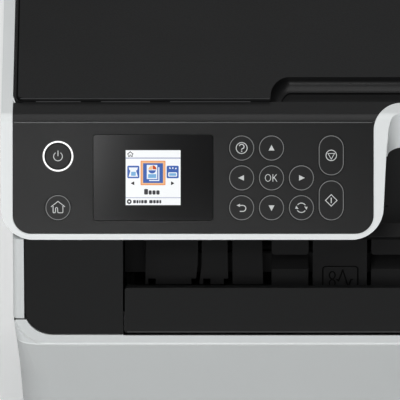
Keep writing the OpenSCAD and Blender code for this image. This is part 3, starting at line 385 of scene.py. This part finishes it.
def capsule(w, h, steps=24):
    r = w / 2
    top = ring(r, 0, h / 2 - r, steps, 0, 180)
    return top + ring(r, 0, r - h / 2, steps, 180, 180)


def block(x0, y0, x1, y1, r=0.0, steps=6):
    if r <= 0:
        return [(x0, y0), (x1, y0), (x1, y1), (x0, y1)]
    out = []
    left, right, low, high = x0 + r, x1 - r, y0 + r, y1 - r
    for cx, cy, start in ((right, low, -90), (right, high, 0), (left, high, 90), (left, low, 180)):
        out += ring(r, cx, cy, steps, start, 90)
    return out


def stroke(points, width, closed=False):
    """Outline loops of a line of even width with mitred corners."""
    half = width / 2
    pts = [Vector(p) for p in points]
    count = len(pts)
    left, right = [], []
    for k, p in enumerate(pts):
        before = pts[k - 1] if (closed or k > 0) else None
        after = pts[(k + 1) % count] if (closed or k < count - 1) else None
        d0 = (p - before).normalized() if before is not None else None
        d1 = (after - p).normalized() if after is not None else None
        d0, d1 = d0 or d1, d1 or d0
        mid = (d0 + d1).normalized()
        normal = Vector((-mid.y, mid.x))
        reach = half / max(0.35, normal.dot(Vector((-d0.y, d0.x))))
        left.append(tuple(p + normal * reach))
        right.append(tuple(p - normal * reach))
    if closed:
        return [left, right]
    return [left + right[::-1]]


def flat_piece(name, shapes, matrix, thickness, material, body, lift=0.0):
    """Thin printed or inlaid piece: a list of shapes, each a list of loops in mm, outline before holes."""
    curve = bpy.data.curves.new(name + "_outline", "CURVE")
    curve.dimensions = "2D"
    curve.fill_mode = "BOTH"
    curve.extrude = thickness * MM / 2
    for loops in shapes:
        for loop in loops:
            line = curve.splines.new("POLY")
            line.points.add(len(loop) - 1)
            for point, (x, y) in zip(line.points, loop):
                point.co = (x * MM, y * MM, 0, 1)
            line.use_cyclic_u = True
    holder = bpy.data.objects.new(name + "_holder", curve)
    SCENE.collection.objects.link(holder)
    bpy.context.view_layer.update()
    mesh = bpy.data.meshes.new_from_object(holder.evaluated_get(bpy.context.evaluated_depsgraph_get()))
    bpy.data.objects.remove(holder)
    bpy.data.curves.remove(curve)
    b = bmesh.new()
    b.from_mesh(mesh)
    bmesh.ops.remove_doubles(b, verts=b.verts, dist=0.0000005)
    bmesh.ops.recalc_face_normals(b, faces=b.faces)
    b.to_mesh(mesh)
    b.free()
    mesh.transform(matrix @ Matrix.Translation((0, 0, (lift + thickness / 2) * MM)))
    mesh.name = name
    piece = bpy.data.objects.new(name, mesh)
    SCENE.collection.objects.link(piece)
    mesh.materials.clear()
    mesh.materials.append(material)
    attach(piece, body)
    return piece


# ------------------------------------------------------------------ keys: rings and symbols

INK = 0.04  # thickness of the print on the keys
LINE = 0.42  # width of a drawn line


def triangle(tip, base, half, axis):
    """Solid arrow along x (axis 0) or y (axis 1)."""
    pts = [(tip, 0.0), (base, half), (base, -half)]
    return [p if axis == 0 else (p[1], p[0]) for p in pts]


def power_symbol():
    arc = ring(2.05, 0, -0.1, 40, 90 + 33, 294)
    return [stroke(arc, LINE), [block(-0.23, 0.0, 0.23, 2.7, 0.2)]]


def house_symbol():
    roof = [(-3.3, 0.35), (0, 2.95), (3.3, 0.35)]
    walls = [(-2.3, 0.75), (-2.3, -2.1), (-2.1, -2.4), (-1.5, -2.4), (-1.2, -2.1), (-1.15, -0.3),
             (-0.9, 0.05), (-0.5, 0.05), (-0.2, -0.3), (-0.1, -2.1), (0.15, -2.4), (2.0, -2.4),
             (2.3, -2.1), (2.3, 0.75)]
    return [stroke(roof, LINE), stroke(walls, LINE)]


def help_symbol():
    hook = [(-1.15, 0.62)] + ring(1.12, 0, 0.62, 18, 165, -200) + [(0.25, -0.35), (0.0, -0.62), (0.0, -0.85)]
    return [[ring(2.78), ring(2.34)], stroke(hook[1:], 0.5), [ring(0.34, 0, -1.5, 16)]]


def ok_symbol():
    k = [(0.45, -1.75), (0.45, 1.75), (0.82, 1.75), (0.82, 0.1), (2.2, 1.75), (2.68, 1.75), (1.4, 0.22),
         (2.8, -1.75), (2.34, -1.75), (1.14, -0.08), (0.82, -0.44), (0.82, -1.75)]
    return [[ring(1.45, -1.65, 0, 48, ry=1.78), ring(1.08, -1.65, 0, 48, ry=1.42)], [k]]


def back_symbol():
    bend = [(-0.75, 1.1), (0.5, 1.1)] + ring(1.4, 0.55, -0.3, 24, 88, -176) + [(0.5, -1.7), (-0.9, -1.7)]
    return [stroke(bend, 0.5), [[(-2.45, 1.1), (-0.77, 1.88), (-0.77, 0.32)]]]


def turn_symbol():
    shapes = []
    for side in (0, 180):
        arc = ring(2.2, 0, 0, 26, side + 144, -112)
        shapes.append(stroke(arc, 0.46))
        c, s = math.cos(math.radians(side)), math.sin(math.radians(side))
        head = [(1.3, 0.64), (2.98, 0.42), (2.38, -1.0)]
        shapes.append([[(x * c - y * s, x * s + y * c) for x, y in head]])
    return shapes


def stop_symbol():
    inner = [(-1.54, 0.88), (1.54, 0.88), (0, -1.78)]
    return [[ring(2.66), ring(2.24)], stroke(inner, 0.36, closed=True)]


def start_symbol():
    rhomb = [(-2.72, 0), (0, 2.72), (2.72, 0), (0, -2.72)]
    return [stroke(rhomb, LINE, closed=True), [block(-0.27, -1.3, 0.27, 1.3)]]


SYMBOLS = {
    "power_button": power_symbol(),
    "home_button": house_symbol(),
    "help_button": help_symbol(),
    "up_button": [[triangle(1.5, -1.2, 1.42, 1)]],
    "left_button": [[triangle(-1.72, 1.1, 1.35, 0)]],
    "ok_button": ok_symbol(),
    "right_button": [[triangle(1.72, -1.1, 1.35, 0)]],
    "back_button": back_symbol(),
    "down_button": [[triangle(-1.6, 1.15, 1.42, 1)]],
    "turn_button": turn_symbol(),
    "stop_button": stop_symbol(),
    "start_button": start_symbol(),
}
KEY_R = 5.9  # radius of a round key
LONG = 18.8  # length of a long key
for key, shapes in SYMBOLS.items():
    long_key = key in ("stop_button", "start_button")
    at = on_slope(key_centre(key, LONG / 2 if long_key else KEY_R))
    base = key.replace("_button", "")
    flat_piece(base + "_symbol", shapes, at, INK, LEGEND, key)
    if long_key:
        outline = [capsule(2 * KEY_R - 0.05, LONG - 0.05), capsule(2 * KEY_R - 0.85, LONG - 0.85)]
    else:
        outline = [ring(KEY_R - 0.02), ring(KEY_R - 0.42)]
    if key != "power_button":
        flat_piece(base + "_ring", [outline], at, INK, KEY_RING, key)
panel_at = on_slope(key_centre("power_button", KEY_R) - OUT * 0.1 * MM)
LIGHT_R = [7.2, 6.36]  # outer and inner radius of the lit ring around the power key
flat_piece("power_light", [[ring(r, steps=96) for r in LIGHT_R]], panel_at, 0.12, LIT_RING,
           "scanner_unit")


# ------------------------------------------------------------------ screen

SCREEN = 25.8
U = SCREEN / 100  # the picture is drawn on a field of 100 by 100


def field(loop):
    return [((x - 50) * U, (50 - y) * U) for x, y in loop]


screen_at = on_slope(WINDOW)
BACKLIGHT = 1.0
INKS = {
    "screen_white": (0.94, 0.96, 0.97), "screen_line": (0.34, 0.37, 0.54), "screen_dark": (0.03, 0.03, 0.03),
    "screen_blue": (0.085, 0.18, 0.50), "screen_frame": (0.83, 0.35, 0.16), "screen_peach": (0.92, 0.57, 0.33),
    "screen_page": (0.88, 0.92, 0.96), "screen_sky": (0.26, 0.50, 0.75), "screen_red": (0.62, 0.11, 0.03),
    "screen_grey": (0.075, 0.075, 0.085),
}
INKS = {name: glowing(name, colour, BACKLIGHT, 0.12) for name, colour in INKS.items()}


def picture(name, shapes, ink, layer):
    flat_piece("screen_" + name, [[field(l) for l in s] for s in shapes], screen_at, 0.012, INKS[ink],
               "scanner_unit", lift=0.02 + 0.014 * layer)


picture("field", [[block(0, 0, 100, 100)]], "screen_white", 0)
picture("lines", [[block(0, 13.6, 100, 15.2)], [block(0, 86.0, 100, 87.0)]], "screen_line", 1)
HOUSE = [(4.9, 7.6), (4.9, 11.6), (7.6, 11.6), (7.6, 8.8), (10.0, 8.8), (10.0, 11.6), (12.3, 11.6),
         (12.3, 7.6)]
picture("home", [stroke([(3.2, 7.6), (8.6, 3.0), (14.0, 7.6)], 1.3), stroke(HOUSE, 1.0)], "screen_grey", 1)
picture("frame", [[block(27.3, 19.3, 72.4, 63.6, 1.2), block(28.9, 20.9, 70.8, 62.0)]], "screen_frame", 1)
picture("frame_inner", [[block(28.9, 20.9, 70.8, 62.0), block(31.8, 23.8, 67.9, 59.6)]], "screen_peach", 1)
picture("tile", [[block(31.8, 23.8, 67.9, 59.6)], [block(3.2, 28.4, 24.9, 51.0, 2.2)],
                 [block(74.6, 28.4, 96.4, 51.0, 2.2)]], "screen_blue", 1)
picture("pages", [[block(38.4, 26.8, 57.6, 52.6)],
                  [[(59.4, 31.0), (61.4, 31.0), (61.4, 56.2), (42.8, 56.2), (42.8, 54.2), (59.4, 54.2)]],
                  [[(5.6, 31.4), (22.4, 31.4), (21.2, 36.0), (19.0, 37.2), (22.6, 48.4), (5.4, 48.4),
                    (8.6, 37.2), (6.6, 36.0)]],
                  [[(78.6, 32.0), (80.6, 30.8), (82.4, 33.4), (80.2, 34.6)]],
                  [[(84.6, 31.2), (87.0, 31.2), (87.0, 34.0), (84.6, 34.0)]],
                  [[(89.6, 33.2), (91.8, 31.4), (93.2, 33.4), (91.0, 35.2)]],
                  [block(77.4, 40.2, 93.6, 48.2, 1.6)]], "screen_page", 2)
PIE = (48.3, 35.4)
picture("pie_low", [[ring(6.9, PIE[0], PIE[1], 24, 10, 160)]], "screen_blue", 3)
picture("pie_left", [[[PIE] + ring(6.9, PIE[0], PIE[1], 16, 180, 90)]], "screen_peach", 3)
picture("pie_right", [[[(PIE[0] + 0.8, PIE[1] - 0.8)] + ring(6.9, PIE[0] + 0.8, PIE[1] - 0.8, 16, 270, 95)]],
        "screen_red", 3)
picture("pie_shade", [[block(41.0, 43.6, 55.6, 50.6)], [block(10.0, 39.4, 18.4, 46.6, 1.0)],
                      [block(79.2, 42.0, 91.8, 46.6, 1.0)]], "screen_sky", 3)
picture("arrows", [[[(9.4, 60.2), (15.6, 56.8), (15.6, 63.6)]], [[(88.6, 60.2), (82.6, 56.8), (82.6, 63.6)]]],
        "screen_dark", 1)
WORD = [(33.8, 70.6, 40.6), (42.0, 73.2, 47.4), (48.8, 73.2, 54.4), (55.8, 73.2, 61.6)]
FOOT = [(13.8, 18.6), (19.8, 23.4), (24.6, 27.2), (28.4, 32.6), (33.8, 38.8), (43.0, 49.0), (50.2, 54.6),
        (55.8, 60.2), (61.4, 64.6)]
picture("words", [[block(a, top, b, 80.6, 1.5)] for a, top, b in WORD]
        + [[block(a, 90.8, b, 96.4, 1.1)] for a, b in FOOT]
        + [[ring(4.3, 6.6, 93.5, 24), ring(1.7, 6.6, 93.5, 16)]], "screen_grey", 1)


# ------------------------------------------------------------------ painted highlights, along edges where mouldings meet

def facing(angle, y, z):
    """Local x along the printer, y up a surface that rises at an angle, z out of it."""
    a = math.radians(angle)
    up = Vector((0, math.cos(a), math.sin(a)))
    m = Matrix((ALONG, up, ALONG.cross(up))).transposed().to_4x4()
    m.translation = Vector((0, y, z))
    return m


# painted highlights: light grey strips along edges, standing in for the light those edges catch; the faint and
# dim ones are weaker copies
HIGHLIGHT = plastic("painted_highlight", (0.15, 0.153, 0.155), 0.36, 1500.0, 0.000004, 0.1)
FAINT_HIGHLIGHT = plastic("faint_highlight", (0.13, 0.132, 0.134), 0.38, 1500.0, 0.000004, 0.1)
DIM_HIGHLIGHT = plastic("dim_highlight", (0.062, 0.063, 0.064), 0.4, 1500.0, 0.000004, 0.1)
FACE_T = 2.5 * MM  # thickness of the panel's face
EDGE_T = 0.05  # thickness of a painted highlight strip
face_low, face_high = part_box("panel_face")
lid_low, lid_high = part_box("lid_shell")
panel_top = facing(60, face_high.y - FACE_T * math.sin(TILT), face_high.z)
# painted highlight along the top edge of the panel's face
flat_piece("panel_edge", [[block(face_low.x / MM + 0.4, -0.42, -13.4, -0.02, 0.15)]],
           panel_top, 0.04, HIGHLIGHT, "scanner_unit", lift=0.005)
lid_side = lid_high.x / MM - 1.2  # outer end of the painted highlight, clear of the lid's rounded corner
notch_side = 61.3  # and its inner end, at the finger notch
halves = ((-lid_side, -notch_side), (notch_side, lid_side))
# painted highlight along the lid's front edge, broken at the finger notch
flat_piece("lid_edge", [[block(x0, -0.72, x1, -0.2)] for x0, x1 in halves],
           facing(90, lid_low.y, lid_high.z), EDGE_T, HIGHLIGHT, "lid", lift=0.01)
seat_y, seat_z = lid_low.y - 0.6 * MM, lid_high.z - 1.8 * MM
SEAT_RUNS = ((-171.2, -150.1), (-140.7, -117.6), (-108.2, -70.3))  # the left half, in mm; the right mirrors it
seat = []
for x0, x1 in SEAT_RUNS:
    seat += [[block(x0, -0.35, x1, 0.35, 0.15)], [block(-x1, -0.35, -x0, 0.35, 0.15)]]
# painted highlight along the rear edge of the strip in front of the lid, in runs between its notches
flat_piece("seat_edge", seat, facing(0, seat_y, seat_z), EDGE_T, FAINT_HIGHLIGHT,
           "scanner_unit", lift=0.005)


flap_low, flap_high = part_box("output_flap")
flap_side = (flap_high.x - flap_low.x) / MM / 2 - 1.0
flap_at = facing(90, flap_low.y, flap_low.z + 0.45 * MM)
flap_at.translation.x = (flap_low.x + flap_high.x) / 2
# painted highlight along the flap's lower edge
flat_piece("flap_edge", [[block(-flap_side, 0.0, flap_side, 0.8, 0.2)]], flap_at, EDGE_T, DIM_HIGHLIGHT,
           "output_flap", lift=0.005)


# ------------------------------------------------------------------ cove around the finger notch of the lid

def notch_path():
    """Foot of the notch wall from left to right, with the direction away from the wall, in mm."""
    half, end, front = 61.0, 9.2, lid_low.y / MM
    back = front + 19.8
    deep = back - front - 1.0
    path = [((half, front + 0.6), (-1.0, 0.0)), ((half, front + 1.0), (-1.0, 0.0))]
    for k in range(1, 25):
        a = math.radians(90 * k / 24)
        across = Vector((-math.cos(a) / end, -math.sin(a) / deep)).normalized()
        path.append(((half - end + end * math.cos(a), back - deep + deep * math.sin(a)), tuple(across)))
    return path + [((-x, y), (-i, j)) for (x, y), (i, j) in reversed(path)]


def cove(radius):
    b = bmesh.new()
    foot = lid_low.z / MM + 0.02
    rows = []
    sunk, rise = -0.3, radius + 0.25  # how far it reaches into the wall, and how high it climbs
    arc = [math.radians(9 * k) for k in range(11)]
    section = [(sunk, 0.0), (sunk, rise)]
    section += [(radius - radius * math.cos(a), rise - radius * math.sin(a)) for a in arc]
    section.append((radius, 0.0))
    for (x, y), (i, j) in notch_path():
        rows.append([b.verts.new(((x + i * d) * MM, (y + j * d) * MM, (foot + h) * MM)) for d, h in section])
    count = len(rows[0])
    for a, c in zip(rows, rows[1:]):
        for k in range(count):
            b.faces.new((a[k], a[(k + 1) % count], c[(k + 1) % count], c[k]))
    b.faces.new(rows[0])
    b.faces.new(reversed(rows[-1]))
    bmesh.ops.recalc_face_normals(b, faces=b.faces)
    mesh = bpy.data.meshes.new("notch_cove")
    b.to_mesh(mesh)
    b.free()
    mesh.shade_smooth()
    piece = bpy.data.objects.new("notch_cove", mesh)
    SCENE.collection.objects.link(piece)
    mesh.materials.append(MATERIALS["black_frame"])
    sharp = piece.modifiers.new("normals", "WEIGHTED_NORMAL")
    sharp.keep_sharp = True
    mesh.set_sharp_from_angle(angle=math.radians(40))
    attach(piece, "lid")


COVE_R = 4.6
cove(COVE_R)


# ------------------------------------------------------------------ painted shade in the sunk pictogram

GROOVE_SHADE = plastic("groove_shade", (0.0035, 0.0035, 0.0035), 0.6, 900.0, 0.00001)
SINK = 0.4 * MM
upright = facing(90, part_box("jam_panel")[0].y + SINK, 0)
folds = [(-29.6, 209.6), (-28.6, 208.9), (-26.7, 214.7), (-24.1, 205.5), (-22.7, 209.6), (-21.9, 209.6)]
# a near-black sheet at the bottom of the sunk lines: painted shade in the grooves
flat_piece("jam_sign", [[block(-36.45, 204.25, -19.25, 217.05, 1.95),
                         block(-35.82, 204.88, -19.88, 216.42, 1.32)],
                        [ring(1.68, -31.65, 207.5, 32, ry=2.3), ring(1.05, -31.65, 207.5, 32, ry=1.67)],
                        [ring(1.68, -31.65, 211.9, 32, ry=2.3), ring(1.05, -31.65, 211.9, 32, ry=1.67)],
                        stroke(folds, 0.7)], upright, 0.12, GROOVE_SHADE, "chassis", lift=0.03)


# ------------------------------------------------------------------ ink in the tank

def ink(level):
    """Ink that stands in the tank, drawn up a little where it meets the walls."""
    low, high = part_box("ink_tank")
    wall = 2.25 * MM
    x0, x1, y0, y1 = low.x + wall, high.x - wall, low.y + wall, high.y - wall
    floor_z = low.z + 2.3 * MM
    b = bmesh.new()
    steps = [(0.0, 0.0), (0.4, 0.75), (1.1, 1.05), (2.4, 1.2)]  # inwards from the wall, and down
    rings = [[(x0, y0, floor_z), (x1, y0, floor_z), (x1, y1, floor_z), (x0, y1, floor_z)]]
    for inward, down in steps:
        i, z = inward * MM, level - down * MM
        rings.append([(x0 + i, y0 + i, z), (x1 - i, y0 + i, z), (x1 - i, y1 - i, z), (x0 + i, y1 - i, z)])
    rows = [[b.verts.new(p) for p in r] for r in rings]
    b.faces.new(reversed(rows[0]))
    for lower, upper in zip(rows, rows[1:]):
        for k in range(4):
            b.faces.new((lower[k], lower[(k + 1) % 4], upper[(k + 1) % 4], upper[k]))
    b.faces.new(rows[-1])
    bmesh.ops.recalc_face_normals(b, faces=b.faces)
    mesh = bpy.data.meshes.new("ink")
    b.to_mesh(mesh)
    b.free()
    piece = bpy.data.objects.new("ink", mesh)
    SCENE.collection.objects.link(piece)
    mesh.materials.append(plastic("ink_black", (0.006, 0.006, 0.009), 0.08, 60.0, 0.0000005))
    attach(piece, "chassis")


tank_low, tank_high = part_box("ink_tank")
ink(tank_low.z + 0.62 * (tank_high.z - tank_low.z))


# ------------------------------------------------------------------ studio

def area_light(name, place, target, size, power, colour=(1.0, 1.0, 1.0)):
    lamp = bpy.data.lights.new(name, "AREA")
    lamp.shape = "RECTANGLE"
    lamp.size, lamp.size_y = size
    lamp.energy = power
    lamp.color = colour
    holder = bpy.data.objects.new(name, lamp)
    holder.location = place
    holder.rotation_mode = "QUATERNION"
    holder.rotation_quaternion = (Vector(target) - Vector(place)).to_track_quat("-Z", "Y")
    holder.visible_camera = False
    SCENE.collection.objects.link(holder)


def studio():
    world = bpy.data.worlds.new("studio")
    SCENE.world = world
    world.use_nodes = True
    background = world.node_tree.nodes["Background"]
    background.inputs["Color"].default_value = (0.96, 0.98, 1.0, 1.0)
    background.inputs["Strength"].default_value = 0.06
    area_light("over_left", (-0.5, -1.1, 2.3), (0, -0.1, 0.2), (1.4, 1.0), 10.8)
    area_light("over_right", (0.8, -1.0, 2.2), (0, -0.1, 0.2), (1.0, 1.0), 3.9)
    area_light("top", (0.2, 0.3, 2.6), (0, -0.1, 0.2), (2.0, 2.0), 24.5)
    area_light("back", (0.0, 2.4, 1.6), (0, 0, 0.3), (3.0, 1.0), 4.3)
    area_light("sheen", (-0.12, -0.72, 0.49), (-0.09, -0.155, 0.27), (0.36, 0.08), 0.82)
    area_light("glow", (-0.275, -0.76, 0.69), (-0.15, -0.155, 0.285), (0.26, 0.12), 0.86)

    mesh = bpy.data.meshes.new("floor")
    b = bmesh.new()
    bmesh.ops.create_grid(b, x_segments=4, y_segments=4, size=40.0)
    b.to_mesh(mesh)
    b.free()
    floor = bpy.data.objects.new("floor", mesh)
    SCENE.collection.objects.link(floor)
    m = Nodes("floor_paint")
    paper = m.ramp(m.noise(300.0, detail=2.0), [(0.3, (0.92, 0.93, 0.93)), (0.7, (0.94, 0.95, 0.95))])
    mesh.materials.append(m.surface(paper, 0.7, Specular_IOR_Level=0.1, Emission_Color=(1.0, 1.0, 1.0),
                                    Emission_Strength=0.28))


def camera():
    data = bpy.data.cameras.new("camera")
    data.lens = 1200.0
    data.sensor_width = 36.0
    data.clip_start, data.clip_end = 0.5, 60.0
    holder = bpy.data.objects.new("camera", data)
    elevation = math.radians(30)
    ahead = Vector((0, math.cos(elevation), -math.sin(elevation)))
    low, high = cad_box
    half_wide = (high.x - low.x) / 2
    frame_wide = 0.188  # width of what the camera sees
    aim_back, aim_down = 0.0235, 0.044
    aim = Vector((low.x + half_wide * 0.4980, low.y + aim_back, high.z - aim_down))
    holder.location = aim - ahead * (frame_wide * data.lens / data.sensor_width)
    holder.rotation_mode = "QUATERNION"
    holder.rotation_quaternion = ahead.to_track_quat("-Z", "Y")
    SCENE.collection.objects.link(holder)
    SCENE.camera = holder


studio()
camera()
SCENE.view_settings.view_transform = "Standard"
SCENE.view_settings.look = "None"
SCENE.view_settings.gamma = 0.8
